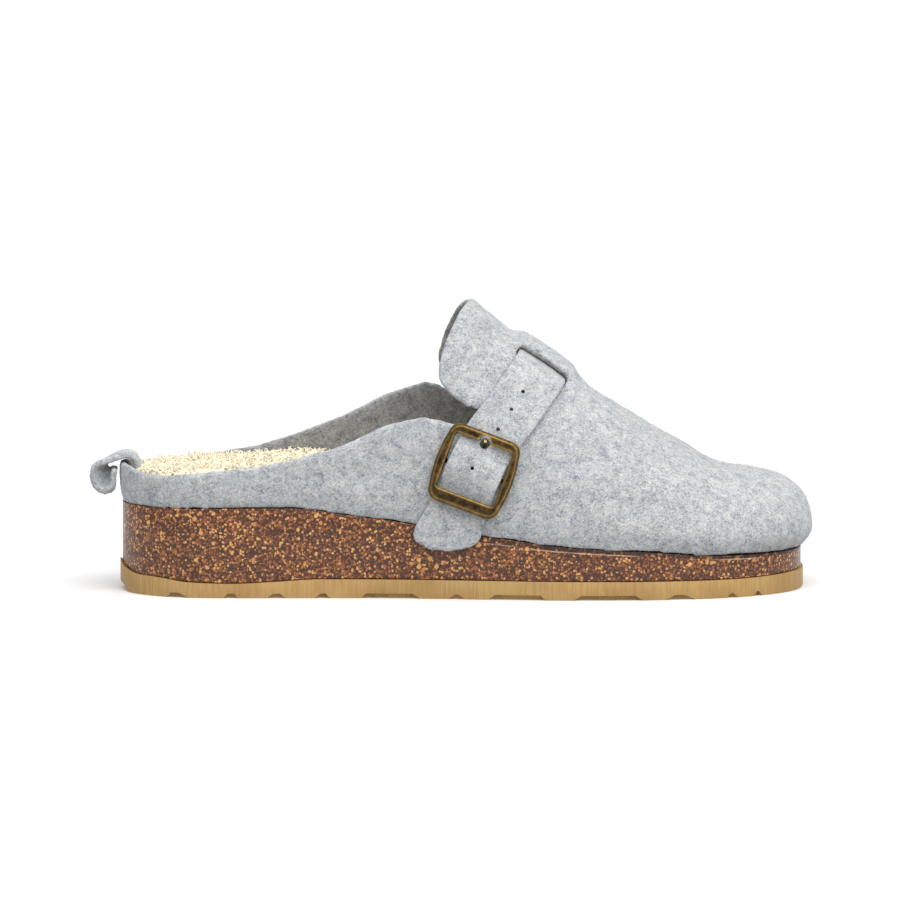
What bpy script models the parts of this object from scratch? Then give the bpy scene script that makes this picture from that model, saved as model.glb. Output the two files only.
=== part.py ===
# Felt clog for the right foot, empty and standing on its sole.
# X runs from heel to toe, Y from the outer side to the inner side, Z up from the floor.
# The foot's sections are worked out from a few named sizes, in metres.

import math

import bmesh
import bpy
from mathutils import Quaternion, Vector
from mathutils.bvhtree import BVHTree

# Driving dimensions
SOLE_LENGTH = 0.262
BALL_WIDTH = 0.097
HEEL_HEIGHT = 0.0342
FOREFOOT_HEIGHT = 0.0158
INSTEP_RISE = 0.0866
OUTSOLE_THICKNESS = 0.0072
LUG_DEPTH = 0.0019
LUG_SETBACK = 0.0038
OUTSOLE_LEDGE = 0.0009
FOOTBED_DISH = 0.0020
DISH_SHARE = 0.86
DISH_ENDS = 0.003
FLEECE_SHOULDER = 0.25
FELT = 0.0028
FELT_BULGE_HEIGHT = 0.008
FLEECE_HEIGHT = 0.0170
FIT = 0.0003
STRAP_WIDTH = 0.0214
STRAP_THICKNESS = 0.0024
STRAP_SEAT = 0.0005
BRIDGE_WIDTH = 0.029
BRIDGE_RISE = 0.0034
BRIDGE_FADE = 0.0055
SLOT_HEIGHT = 0.008
FRAME_LENGTH = 0.0312
FRAME_WIDTH = 0.0266
FRAME_SIDE_BULGE = 0.0022
FRAME_THICKNESS = 0.0022
FRAME_TOP_BAR = 0.0041
FRAME_END_BAR = 0.0052
FRAME_CORNER = 0.0032
HINGE_RADIUS = 0.0009
PRONG_RADIUS = 0.00075
PRONG_NOTCH_RADIUS = 0.0022
TAB_THICKNESS = 0.0007
TAB_WIDTH = 0.015
LOOP_WIDTH = 0.013
LOOP_THICKNESS = 0.0024
LOOP_TWIST = 0.66
LOOP_TWIST_FROM = 0.30

# How finely the curved pieces are divided
STATIONS = 42
END_TURN = 0.004
BRIDGE_STATIONS_FROM, BRIDGE_STATIONS_TO = 0.50, 0.71

# Plan of the sole: shares of SOLE_LENGTH along, shares of BALL_WIDTH to each side
PLAN = (
    # along, outer, inner
    (0.00, 0.392, 0.289),
    (0.12, 0.402, 0.299),
    (0.20, 0.405, 0.304),
    (0.35, 0.402, 0.285),
    (0.45, 0.420, 0.315),
    (0.55, 0.455, 0.395),
    (0.65, 0.482, 0.475),
    (0.72, 0.484, 0.516),
    (0.80, 0.460, 0.516),
    (0.88, 0.410, 0.478),
    (1.00, 0.325, 0.420),
)
HEEL_ROUND, HEEL_ROUNDNESS = 0.130, 2.0
TOE_ROUND, TOE_ROUNDNESS = 0.170, 2.45

# Line between cork and felt: share of the drop from heel to forefoot
FEATHER = (
    # along, height
    (0.00, 0.98),
    (0.07, 0.99),
    (0.26, 1.01),
    (0.34, 0.85),
    (0.39, 0.77),
    (0.435, 0.67),
    (0.527, 0.45),
    (0.574, 0.38),
    (0.615, 0.29),
    (0.696, 0.195),
    (0.777, 0.13),
    (0.859, 0.03),
    (0.912, 0.01),
    (1.00, 0.00),
)

# Top of the outsole, in shares of OUTSOLE_THICKNESS: it turns up behind the heel
OUTSOLE_TOP = (
    # along, height
    (0.000, 1.62),
    (0.006, 1.32),
    (0.030, 1.04),
    (0.050, 1.03),
    (0.100, 0.82),
    (0.165, 0.76),
    (0.225, 0.86),
    (0.290, 1.00),
    (0.900, 0.97),
    (1.000, 1.06),
)

# Bottom of the outsole, in shares of OUTSOLE_THICKNESS: bevelled heel and toe spring
OUTSOLE_SPRING = (
    # along, height
    (0.000, 0.46),
    (0.006, 0.34),
    (0.016, 0.02),
    (0.030, 0.00),
    (0.900, 0.00),
    (0.970, 0.00),
    (1.000, 0.10),
)

# Grooves between the side lugs, with the lug that stands back in the wide ones
TREAD = (
    # start, full from, full to, end, lug from, lug to
    (0.0702, 0.0756, 0.0878, 0.1027, None, None),
    (0.1519, 0.1595, 0.1683, 0.1733, None, None),
    (0.2153, 0.2256, 0.2351, 0.2431, None, None),
    (0.2855, 0.2943, 0.3015, 0.3076, None, None),
    (0.3534, 0.3603, 0.4282, 0.4397, 0.3748, 0.4218),
    (0.4798, 0.4905, 0.4939, 0.5046, None, None),
    (0.5370, 0.5477, 0.6145, 0.6221, 0.5618, 0.6118),
    (0.6611, 0.6744, 0.7538, 0.7641, 0.7000, 0.7481),
    (0.7947, 0.8103, 0.8237, 0.8408, None, None),
    (0.8844, 0.8920, 0.8944, 0.9027, None, None),
    (0.9252, 0.9305, 0.9328, 0.9378, None, None),
)
LUG_SLOPE = 0.004

# Ridge of the upper over the foot: height above the feather line in shares of INSTEP_RISE
RIDGE = (
    # along, height, sideways share of BALL_WIDTH
    (0.00, 1.05, -0.050),
    (0.23, 1.08, -0.030),
    (0.38, 1.12, -0.010),
    (0.458, 1.08, 0.000),
    (0.514, 1.00, 0.000),
    (0.550, 0.921, 0.000),
    (0.578, 0.858, 0.000),
    (0.624, 0.783, 0.002),
    (0.681, 0.668, 0.006),
    (0.726, 0.588, 0.012),
    (0.762, 0.526, 0.018),
    (0.797, 0.466, 0.026),
    (0.832, 0.417, 0.034),
    (0.867, 0.366, 0.042),
    (0.902, 0.341, 0.050),
    (0.937, 0.334, 0.056),
    (1.000, 0.330, 0.060),
)
RIDGE_START, RIDGE_END = 0.130, 0.895

# Roundness of the sections and how far the felt swells over the cork
SECTION = (
    # along, roundness, bulge in shares of FELT
    (0.00, 3.0, 0.45),
    (0.30, 2.6, 0.45),
    (0.45, 2.3, 0.45),
    (0.55, 2.1, 0.50),
    (0.70, 2.2, 0.60),
    (0.85, 2.6, 1.00),
    (1.00, 3.0, 1.75),
)
SECTION_HEIGHTS = (
    0.0, 0.03, 0.07, 0.12, 0.18, 0.25, 0.33, 0.42, 0.51, 0.60, 0.69, 0.77, 0.85, 0.92, 0.97, 0.992, 1.0,
)

# Collar and flap seen from the side: what lies above this line is cut away
COLLAR = (
    # along, height in shares of INSTEP_RISE above the feather line, lift of the inner side
    (-0.100, 0.180, 0.000),
    (0.009, 0.176, 0.000),
    (0.035, 0.152, 0.000),
    (0.070, 0.148, 0.000),
    (0.129, 0.162, 0.000),
    (0.203, 0.187, 0.012),
    (0.259, 0.222, 0.034),
    (0.296, 0.261, 0.050),
    (0.319, 0.296, 0.056),
    (0.353, 0.356, 0.060),
    (0.389, 0.418, 0.066),
    (0.427, 0.465, 0.076),
    (0.445, 0.480, 0.084),
    (0.464, 0.482, 0.080),
    (0.490, 0.474, 0.050),
    (0.527, 0.480, 0.030),
    (0.545, 0.490, 0.020),
    (0.550, 0.512, 0.010),
    (0.545, 0.534, 0.005),
    (0.521, 0.551, 0.000),
    (0.506, 0.559, 0.000),
    (0.492, 0.581, 0.000),
    (0.481, 0.602, 0.000),
    (0.470, 0.629, 0.000),
    (0.465, 0.665, 0.000),
    (0.4655, 0.701, 0.000),
    (0.471, 0.776, 0.000),
    (0.476, 0.820, 0.000),
    (0.4825, 0.871, 0.000),
    (0.492, 0.930, 0.000),
    (0.499, 0.963, 0.000),
    (0.506, 0.981, 0.000),
    (0.514, 0.995, 0.000),
    (0.540, 1.120, 0.000),
    (0.540, 1.500, 0.000),
    (-0.100, 1.500, 0.000),
)

# Insole: height of its edge and of its middle, in shares of FLEECE_HEIGHT
FLEECE = (
    # along, edge, middle
    (0.00, 0.84, 0.70),
    (0.06, 0.85, 0.66),
    (0.20, 0.92, 0.64),
    (0.30, 1.00, 0.62),
    (0.42, 0.95, 0.60),
    (0.60, 0.75, 0.52),
    (0.80, 0.62, 0.48),
    (1.00, 0.55, 0.46),
)

# Middle line of the strap down the outer side, seen from the side
STRAP_RUN = (
    # along, height in shares of INSTEP_RISE above the feather line
    (0.5600, 0.503),
    (0.5420, 0.431),
    (0.5190, 0.286),
    (0.5010, 0.142),
    (0.4850, 0.031),
    (0.4680, -0.090),
)
STRAP_CROSSING = 0.624
STRAP_TURNS = 31
STRAP_END_ROUND = 0.009
STRAP_END_FLARE = 0.20
STRAP_FLARE_LENGTH = 0.022
STRAP_END_LEAN = 0.0038
STRAP_SLACK = 0.0007
STRAP_INNER_END = 0.003
LIP_STEP = 0.0002
HINGE_LIFT = 0.0026
HINGE_LUG = 0.0009
SIDE_STEPS = 3
BUCKLE_AT = 2.0
BUCKLE_TURN = 3.5
FRAME_LIFT = 0.0013
NOTCH_SHIFT = 0.0007

# Pull loop, seen from the side: distances from the heel's back and above the rim
PULL_LOOP = (
    # back, above the rim
    (0.0068, -0.0050),
    (0.0066, -0.0010),
    (0.0054, 0.0018),
    (0.0019, 0.0026),
    (-0.0031, 0.0009),
    (-0.0063, -0.0008),
    (-0.0078, -0.0026),
    (-0.0074, -0.0048),
    (-0.0066, -0.0074),
    (-0.0050, -0.0086),
    (-0.0038, -0.0078),
    (-0.0029, -0.0055),
    (-0.0018, -0.0026),
)


def clear_scene():
    for thing in list(bpy.data.objects):
        bpy.data.objects.remove(thing, do_unlink=True)


def table_curve(rows, column):
    """Smooth curve through one column of a table, by its first column."""
    xs = [row[0] for row in rows]
    ys = [row[column] for row in rows]
    slopes = [(ys[i + 1] - ys[i]) / (xs[i + 1] - xs[i]) for i in range(len(xs) - 1)]
    tangents = [slopes[0]]
    for before, after in zip(slopes, slopes[1:]):
        level = before * after <= 0
        tangents.append(0.0 if level else 2 * before * after / (before + after))
    tangents.append(slopes[-1])

    def value(x):
        x = min(max(x, xs[0]), xs[-1])
        i = 0
        while i < len(xs) - 2 and x > xs[i + 1]:
            i += 1
        width = xs[i + 1] - xs[i]
        u = (x - xs[i]) / width
        start = (1 + 2 * u) * (1 - u) ** 2 * ys[i] + u * (1 - u) ** 2 * width * tangents[i]
        end = u * u * (3 - 2 * u) * ys[i + 1] + u * u * (u - 1) * width * tangents[i + 1]
        return start + end

    return value


outer_side = table_curve(PLAN, 1)
inner_side = table_curve(PLAN, 2)
feather_share = table_curve(FEATHER, 1)
outsole_top_share = table_curve(OUTSOLE_TOP, 1)
outsole_spring_share = table_curve(OUTSOLE_SPRING, 1)
ridge_share = table_curve(RIDGE, 1)
ridge_side = table_curve(RIDGE, 2)
roundness = table_curve(SECTION, 1)
bulge_share = table_curve(SECTION, 2)
fleece_edge = table_curve(FLEECE, 1)
fleece_middle = table_curve(FLEECE, 2)


def end_rounding(along):
    """How much of its full half width the sole has near its two ends."""
    if along < HEEL_ROUND:
        short = 1 - along / HEEL_ROUND
        return max(0.0, 1 - short**HEEL_ROUNDNESS) ** (1 / HEEL_ROUNDNESS)
    if along > 1 - TOE_ROUND:
        short = 1 - (1 - along) / TOE_ROUND
        return max(0.0, 1 - short**TOE_ROUNDNESS) ** (1 / TOE_ROUNDNESS)
    return 1.0


def plan_point(turn):
    """Point of the sole's outline: turn 0 is the heel, 0.5 the toe, by way of the outer side."""
    turn = turn % 1.0
    outer = turn <= 0.5
    along = (1 - math.cos(2 * math.pi * turn)) / 2
    middle = (inner_side(along) - outer_side(along)) / 2
    half = (inner_side(along) + outer_side(along)) / 2 * end_rounding(along)
    y = middle - half if outer else middle + half
    return Vector((along * SOLE_LENGTH, y * BALL_WIDTH, 0))


def plan_normal(turn):
    step = 0.002
    tangent = plan_point(turn + step) - plan_point(turn - step)
    return Vector((tangent.y, -tangent.x, 0)).normalized()


def inset_point(turn, inset):
    return plan_point(turn) - plan_normal(turn) * inset


def station_turn(along):
    along = min(max(along, 0), 1)
    return math.acos(1 - 2 * along) / (2 * math.pi)


def feather_height(x):
    drop = HEEL_HEIGHT - FOREFOOT_HEIGHT
    return FOREFOOT_HEIGHT + drop * feather_share(x / SOLE_LENGTH)


def profile_height(along, share):
    return feather_height(along * SOLE_LENGTH) + share * INSTEP_RISE


def outsole_top(x):
    return OUTSOLE_THICKNESS * outsole_top_share(x / SOLE_LENGTH)


def groove_depth(along, with_lug):
    """Depth of the tread's grooves, at the edge or behind it where a lug fills the wide ones."""
    for start, full_from, full_to, end, lug_from, lug_to in TREAD:
        if start < along < end:
            rise = min(1, (along - start) / (full_from - start), (end - along) / (end - full_to))
            if with_lug and lug_from is not None:
                outside = max(lug_from - along, along - lug_to, 0)
                rise = min(rise, outside / LUG_SLOPE)
            return LUG_DEPTH * rise
    return 0.0


def material(name, colour, roughness_value, metallic=0.0):
    made = bpy.data.materials.new(name)
    made.use_nodes = True
    shader = made.node_tree.nodes["Principled BSDF"]
    shader.inputs["Base Color"].default_value = (*colour, 1)
    shader.inputs["Roughness"].default_value = roughness_value
    shader.inputs["Metallic"].default_value = metallic
    return made


def mesh_object(name, mesh_material, verts, faces, weld=2e-6):
    """Closed mesh from points and faces, with the points that meet made one."""
    mesh = bpy.data.meshes.new(name)
    mesh.from_pydata([tuple(v) for v in verts], [], faces)
    shape = bmesh.new()
    shape.from_mesh(mesh)
    bmesh.ops.remove_doubles(shape, verts=shape.verts, dist=weld)
    bmesh.ops.recalc_face_normals(shape, faces=shape.faces)
    shape.to_mesh(mesh)
    shape.free()
    mesh.materials.append(mesh_material)
    mesh.shade_smooth()
    mesh.set_sharp_from_angle(angle=math.radians(35))
    made = bpy.data.objects.new(name, mesh)
    bpy.context.scene.collection.objects.link(made)
    return made


def loft(name, mesh_material, loops, closed_ends=True):
    """Skin over loops of as many points each."""
    count = len(loops[0])
    verts = [point for loop in loops for point in loop]
    faces = []
    for i in range(len(loops) - 1):
        for j in range(count):
            k = (j + 1) % count
            faces.append((i * count + j, i * count + k, (i + 1) * count + k, (i + 1) * count + j))
    if closed_ends:
        faces.append(tuple(range(count)))
        faces.append(tuple(range((len(loops) - 1) * count, len(loops) * count)))
    return mesh_object(name, mesh_material, verts, faces)


def cut(target, cutter):
    cutter.hide_render = True
    cutter.display_type = "WIRE"
    cutting = target.modifiers.new("cut by " + cutter.name, "BOOLEAN")
    cutting.operation = "DIFFERENCE"
    cutting.solver = "EXACT"
    cutting.object = cutter


def join_to(target, added):
    added.hide_render = True
    added.display_type = "WIRE"
    joining = target.modifiers.new("join " + added.name, "BOOLEAN")
    joining.operation = "UNION"
    joining.solver = "EXACT"
    joining.object = added


def even_stations(count):
    return [i / count / 2 for i in range(count + 1)]


def open_stations(count):
    """The same stations, with a short flat end instead of a point at heel and toe."""
    return [END_TURN] + even_stations(count)[1:-1] + [0.5 - END_TURN]


def build_outsole(rubber):
    corners = []
    for row in TREAD:
        corners += [along for along in row if along is not None]
        if row[4] is not None:
            corners += [row[4] - LUG_SLOPE, row[5] + LUG_SLOPE]
    corners += [row[0] for row in OUTSOLE_SPRING + OUTSOLE_TOP]
    turns = sorted({round(station_turn(along), 5) for along in corners} | set(even_stations(STATIONS)))
    kept = [turns[0]]
    for turn in turns[1:]:
        if turn - kept[-1] > 0.0008:
            kept.append(turn)
    kept[-1] = 0.5
    loops = []
    for turn in kept:
        outer, inner = inset_point(turn, 0), inset_point(1 - turn, 0)
        along = min(max(outer.x / SOLE_LENGTH, 0), 1)
        spring = OUTSOLE_THICKNESS * outsole_spring_share(along)
        edge = spring + groove_depth(along, False)
        middle = spring + groove_depth(along, True)
        top = outsole_top(outer.x)
        width = (inner - outer).length
        setback = min(LUG_SETBACK, 0.3 * width)
        step = setback * 1.1
        across = (inner - outer).normalized() if width > 1e-6 else Vector((0, 1, 0))
        loops.append(
            [
                Vector((outer.x, outer.y, top)),
                Vector((outer.x, outer.y, edge)),
                outer + across * setback + Vector((0, 0, edge)),
                outer + across * step + Vector((0, 0, middle)),
                inner - across * step + Vector((0, 0, middle)),
                inner - across * setback + Vector((0, 0, edge)),
                Vector((inner.x, inner.y, edge)),
                Vector((inner.x, inner.y, top)),
            ]
        )
    return loft("outsole", rubber, loops, closed_ends=False)


def section_across(outer, inner, shares, height):
    """Points at shares from the outer edge, 0, to the inner edge, 1, at a height of each share."""
    points = []
    for share in shares:
        point = outer.lerp(inner, share)
        point.z = height(point.x, abs(2 * share - 1))
        points.append(point)
    return points


def footbed_height(x, out):
    """Top of the cork: level under the felt, dished inside it, and level again at heel and toe."""
    to_end = max(0.0, min(x, SOLE_LENGTH - x) - DISH_ENDS)
    ends = min(1.0, to_end / DISH_ENDS)
    return feather_height(x) - FOOTBED_DISH * ends * max(0.0, 1 - (out / DISH_SHARE) ** 2)


def build_midsole(cork):
    shares = (0, 0.07, 0.25, 0.5, 0.75, 0.93, 1)
    loops = []
    for turn in open_stations(STATIONS):
        outer, inner = inset_point(turn, OUTSOLE_LEDGE), inset_point(1 - turn, OUTSOLE_LEDGE)
        top = section_across(outer, inner, shares, footbed_height)
        low = [Vector((p.x, p.y, outsole_top(p.x) + FIT)) for p in (inner, outer)]
        loops.append(top + low)
    return loft("midsole", cork, loops)


def fleece_top(x, out):
    along = x / SOLE_LENGTH
    edge, middle = fleece_edge(along) * FLEECE_HEIGHT, fleece_middle(along) * FLEECE_HEIGHT
    rise = min(out / DISH_SHARE, 1) ** 2.2
    shoulder = max(0.0, (out - DISH_SHARE) / (1 - DISH_SHARE)) ** 2
    return feather_height(x) + middle + (edge - middle) * rise - shoulder * FLEECE_SHOULDER * edge


def loop_notch():
    rim = profile_height(0, COLLAR[1][1])
    half = LOOP_WIDTH / 2 + FIT
    middle = plan_point(0).y
    back = PULL_LOOP[0][0] + LOOP_THICKNESS / 2 + 2 * FIT
    low = rim + PULL_LOOP[0][1] - 2 * FIT
    corners = ((-back, low), (back, low), (back, rim + FLEECE_HEIGHT), (-back, rim + FLEECE_HEIGHT))
    return loft("loop_notch", None, [[Vector((x, middle + y, z)) for x, z in corners] for y in (-half, half)])


def build_insole(fleece):
    inset = OUTSOLE_LEDGE + FELT + 3 * FIT
    across = (0, 0.03, 0.08, 0.18, 0.34, 0.5, 0.66, 0.82, 0.92, 0.97, 1)
    under = (1, 0.93, 0.75, 0.5, 0.25, 0.07, 0)
    loops = []
    for turn in open_stations(STATIONS):
        outer, inner = inset_point(turn, inset), inset_point(1 - turn, inset)
        top = section_across(outer, inner, across, fleece_top)
        low = section_across(outer, inner, under, lambda x, out: footbed_height(x, out) + 2 * FIT)
        loops.append(top + low)
    insole = loft("insole", fleece, loops)
    cut(insole, loop_notch())
    return insole


def upper_point(turn, height_share):
    """Point of the felt's outer face: from its lower edge at share 0 to the ridge at share 1."""
    base = inset_point(turn, OUTSOLE_LEDGE)
    along = min(max(base.x / SOLE_LENGTH, 0), 1)
    ridge_along = RIDGE_START + (RIDGE_END - RIDGE_START) * along
    ridge = Vector((ridge_along * SOLE_LENGTH, ridge_side(ridge_along) * BALL_WIDTH, 0))
    power = roundness(along)
    reach = max(0.0, 1 - height_share**power) ** (1 / power)
    rise = ridge_share(along) * INSTEP_RISE * height_share
    swelling = min(rise / FELT_BULGE_HEIGHT, 1)
    swelling = bulge_share(along) * FELT * swelling * (2 - swelling)
    point = ridge + (base - ridge) * reach + plan_normal(turn) * swelling * reach
    here = point.x / SOLE_LENGTH
    point.z = feather_height(point.x) + FIT + ridge_share(here) * INSTEP_RISE * height_share
    return point


def ridge_point(along):
    side = ridge_side(along) * BALL_WIDTH
    return Vector((along * SOLE_LENGTH, side, profile_height(along, ridge_share(along)) + FIT))


def curve_point(a, b, c, d, u):
    """Point between b and c of the smooth curve that goes through all four."""
    return 0.5 * (2 * b + (c - a) * u + (2 * a - 5 * b + 4 * c - d) * u**2 + (3 * b - a - 3 * c + d) * u**3)


def run_point(share):
    """Point of the strap's middle line in side view, at a row number of STRAP_RUN."""
    row = min(int(share), len(STRAP_RUN) - 2)
    u = share - row
    rows = [STRAP_RUN[min(max(row + k, 0), len(STRAP_RUN) - 1)] for k in (-1, 0, 1, 2)]
    a, b, c, d = [Vector((r[0] * SOLE_LENGTH, 0, profile_height(*r))) for r in rows]
    if row == 0:
        a = 2 * b - c
    if row == len(STRAP_RUN) - 2:
        d = 2 * c - b
    return curve_point(a, b, c, d, u)


STRAP_TOP = ridge_point(STRAP_CROSSING)
STRAP_AXIS = run_point(0)
STRAP_DOWN = Vector((STRAP_AXIS.x - STRAP_TOP.x, 0, STRAP_AXIS.z - STRAP_TOP.z)).normalized()
STRAP_ACROSS = Vector((-STRAP_DOWN.z, 0, STRAP_DOWN.x))


def smooth_window(distance, full, fade):
    u = min(max((distance - full) / fade, 0), 1)
    return 1 - u * u * (3 - 2 * u)


def bridge_lift(point):
    """The felt between the two slots stands up over the strap."""
    away = point - STRAP_TOP
    across = smooth_window(abs(away.dot(STRAP_ACROSS)), STRAP_WIDTH / 2 + 2 * FIT, BRIDGE_FADE)
    sideways = smooth_window(abs(away.y), BRIDGE_WIDTH / 2 + 3 * FIT, BRIDGE_FADE)
    out = point - STRAP_AXIS
    out -= STRAP_ACROSS * out.dot(STRAP_ACROSS)
    return out.normalized() * BRIDGE_RISE * across * sideways


def upper_skin(with_bridge):
    """Points and faces of the felt's outer face, before the collar is cut."""
    turns = even_stations(STATIONS)
    first, last = station_turn(BRIDGE_STATIONS_FROM), station_turn(BRIDGE_STATIONS_TO)
    between = [(a + b) / 2 for a, b in zip(turns, turns[1:]) if first < (a + b) / 2 < last]
    turns = sorted(turns + between)
    rows = []
    for turn in turns:
        outer = [upper_point(turn, share) for share in SECTION_HEIGHTS]
        inner = [upper_point(1 - turn, share) for share in reversed(SECTION_HEIGHTS[:-1])]
        row = outer + inner
        if with_bridge:
            row = [point + bridge_lift(point) for point in row]
        rows.append(row)
    count = len(rows[0])
    faces = []
    for i in range(len(rows) - 1):
        for j in range(count - 1):
            a = i * count + j
            faces.append((a, a + count, a + count + 1, a + 1))
    return [point for row in rows for point in row], faces


def collar_cutter():
    reach = BALL_WIDTH
    sides = ((-reach, 0), (-0.3 * BALL_WIDTH, 0), (0.3 * BALL_WIDTH, 1), (reach, 1))
    loops = []
    for y, lifted in sides:
        loop = []
        for along, share, lift in COLLAR:
            height = profile_height(max(along, 0), share + lift * lifted)
            loop.append(Vector((along * SOLE_LENGTH, y, height)))
        loops.append(loop)
    made = loft("collar_cutter", None, loops)
    tris = bmesh.new()
    tris.from_mesh(made.data)
    bmesh.ops.triangulate(tris, faces=tris.faces)
    tris.to_mesh(made.data)
    tris.free()
    return made


def build_upper(felt):
    points, faces = upper_skin(True)
    upper = mesh_object("upper", felt, points, faces)
    wall = upper.modifiers.new("wall", "SOLIDIFY")
    wall.thickness = FELT
    wall.offset = -1
    wall.use_even_offset = True
    cut(upper, collar_cutter())
    cut(upper, slot_cutter())
    return upper


def strap_lines():
    """Rows of the strap: a middle point on the felt, the way across, and the rays that find the felt."""
    rows = []
    for i in range(STRAP_TURNS):
        angle = math.pi * i / (STRAP_TURNS - 1)
        out = Vector((0, -math.cos(angle), 0)) - STRAP_DOWN * math.sin(angle)
        rows.append((STRAP_AXIS, STRAP_ACROSS, out))
    steps = [0.25 * k for k in range(1, 4 * (len(STRAP_RUN) - 1) + 1)]
    for sign, place in ((-1, 0), (1, len(rows))):
        lower = []
        for share in steps:
            centre = run_point(share)
            if sign > 0 and centre.z < feather_height(centre.x) + STRAP_INNER_END:
                break
            ahead = run_point(share - 0.05) - run_point(share + 0.05)
            level = min(1, share / 1.5)
            turned = Vector((ahead.z, 0, -ahead.x)).normalized()
            across = STRAP_ACROSS.lerp(turned, level).normalized()
            lower.append((centre, across, Vector((0, sign, 0))))
        if sign < 0:
            rows = list(reversed(lower)) + rows
        else:
            rows = rows + lower
    return rows


def strap_rows():
    """Rows of points on the felt across the strap, with their outward direction and place along it."""
    points, faces = upper_skin(False)
    tree = BVHTree.FromPolygons([tuple(p) for p in points], faces)
    shares = (-1, -0.6, -0.2, 0.2, 0.6, 1)
    far = BALL_WIDTH

    def hit(centre, out):
        floor = feather_height(centre.x) + 0.4 * FELT_BULGE_HEIGHT
        start = centre + out * far
        if abs(out.y) > 0.99 and start.z < floor:
            start.z = floor
            found = tree.ray_cast(start, -out)[0]
            found.z = centre.z
            return found
        return tree.ray_cast(start, -out)[0]

    rows = []
    for centre, across, out in strap_lines():
        middle = hit(centre, out)
        row = [hit(centre + across * share * STRAP_WIDTH / 2, out) for share in shares]
        rows.append([middle, row])
    made = []
    for i, (middle, row) in enumerate(rows):
        before, after = rows[max(i - 1, 0)][0], rows[min(i + 1, len(rows) - 1)][0]
        tangent = (after - before).normalized()
        normal = (row[-1] - row[0]).cross(tangent).normalized()
        made.append([middle, row, normal, tangent])
    top = min(range(len(made)), key=lambda i: (made[i][0] - STRAP_TOP).length)
    length = 0.0
    places = [0.0] * len(made)
    for i in range(top - 1, -1, -1):
        length += (made[i][0] - made[i + 1][0]).length
        places[i] = length
    length = 0.0
    for i in range(top + 1, len(made)):
        length += (made[i][0] - made[i - 1][0]).length
        places[i] = -length
    return [(*row, place) for row, place in zip(made, places)]


ROWS = None
BUCKLE = None


def buckle_seat():
    """Where the buckle's middle lies on the felt: point, way along the strap, across and out."""
    centre = run_point(BUCKLE_AT)
    nearest = sorted(ROWS, key=lambda row: (Vector((row[0].x, 0, row[0].z)) - centre).length)
    outer = [row for row in nearest if row[0].y < 0]
    middle, points, normal, tangent, place = outer[0]
    along = -tangent
    across = normal.cross(along).normalized()
    if across.dot(points[-1] - points[0]) < 0:
        across = -across
    turned = Quaternion(normal, math.radians(BUCKLE_TURN))
    return middle, turned @ along, turned @ across, normal, place


def strap_offset(place):
    """Height of the strap's middle layer above the felt, by its place along the strap."""
    outside = STRAP_SEAT + STRAP_THICKNESS / 2
    under = BRIDGE_RISE - FELT - 1.6 * FIT - STRAP_THICKNESS / 2
    away = abs(place)
    blend = smooth_window(away, 0.50 * BRIDGE_WIDTH, 0.28 * BRIDGE_WIDTH)
    offset = outside + (under - outside) * blend
    slack = (away - 0.72 * BRIDGE_WIDTH) / (0.55 * BRIDGE_WIDTH)
    if 0 < slack < 1:
        offset += STRAP_SLACK * math.sin(math.pi * slack)
    if BUCKLE is not None:
        upward = place < BUCKLE[4]
        span = FRAME_LENGTH / 2 - (0.5 * FRAME_TOP_BAR if upward else 0.7 * FRAME_END_BAR)
        near = (place - BUCKLE[4]) / span
        if abs(near) < 1:
            over_hinge = HINGE_LIFT + HINGE_RADIUS + FIT + TAB_THICKNESS + FIT - STRAP_SEAT
            offset += over_hinge * (1 - near**2) ** 1.5
    return offset


def strap_loop(row, low, high, keep=1.0, lean=0.0):
    """Closed section of the strap between two heights above the felt; lean turns it in its own plane."""
    middle, points, normal, tangent, _ = row
    shares = [2 * i / (len(points) - 1) - 1 for i in range(len(points))]
    line = [middle + (p - middle) * keep + tangent * lean * keep * s for p, s in zip(points, shares)]
    inner = [p + normal * low for p in line]
    outer = [p + normal * high for p in reversed(line)]
    return inner + outer


def build_strap(felt):
    end_place = ROWS[0][4]
    loops = []
    for row in ROWS:
        offset = strap_offset(row[4])
        to_end = end_place - row[4]
        short = max(0.0, 1 - to_end / STRAP_END_ROUND)
        keep = max(0.30, (1 - short**2.4) ** (1 / 2.4)) if to_end < STRAP_END_ROUND else 1.0
        near_end = smooth_window(to_end, 0, STRAP_FLARE_LENGTH)
        flare = 1 + STRAP_END_FLARE * near_end
        half = STRAP_THICKNESS / 2
        loops.append(strap_loop(row, offset - half, offset + half, keep * flare, STRAP_END_LEAN * near_end))
    return loft("strap", felt, loops)


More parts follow.
